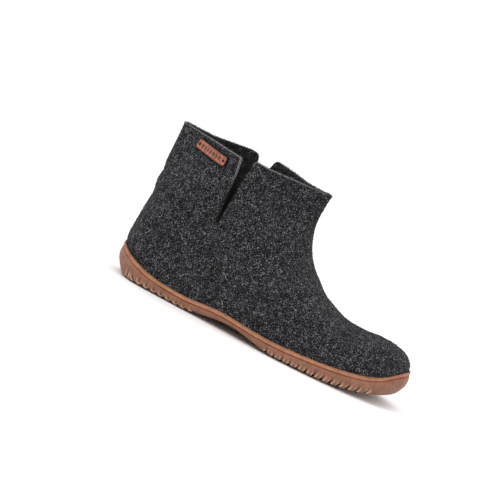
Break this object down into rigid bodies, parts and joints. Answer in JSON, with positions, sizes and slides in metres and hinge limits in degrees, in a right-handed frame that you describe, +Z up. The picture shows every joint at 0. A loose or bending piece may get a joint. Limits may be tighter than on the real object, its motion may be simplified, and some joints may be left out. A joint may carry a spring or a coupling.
{
  "type": "felt ankle boot",
  "caption": "Right ankle boot in charcoal wool felt, slit at both sides of the shaft, standing in a low gum-rubber cup sole with cross-barred tread; leather tag at the collar",
  "frame": {"origin": "on the floor, under the middle of the boot's box", "axes": "+X from heel to toe, +Y to the inner side of the right foot, +Z up"},
  "size_m": [0.2734, 0.1032, 0.1412],
  "materials": {
    "felt": "charcoal melange wool felt, matt and slightly hairy",
    "gum_rubber": "natural gum rubber, satin",
    "insole_felt": "grey wool felt, matt",
    "tag_leather": "cognac vegetable-tanned leather, bare",
    "rivet_metal": "blackened"
  },
  "bodies": {
    "root": {"upper": "felt", "sole": "gum_rubber", "insole": "insole_felt", "leather_tag": "tag_leather", "tag_rivet_back": "rivet_metal", "tag_rivet_front": "rivet_metal"}
  },
  "joints": []
}
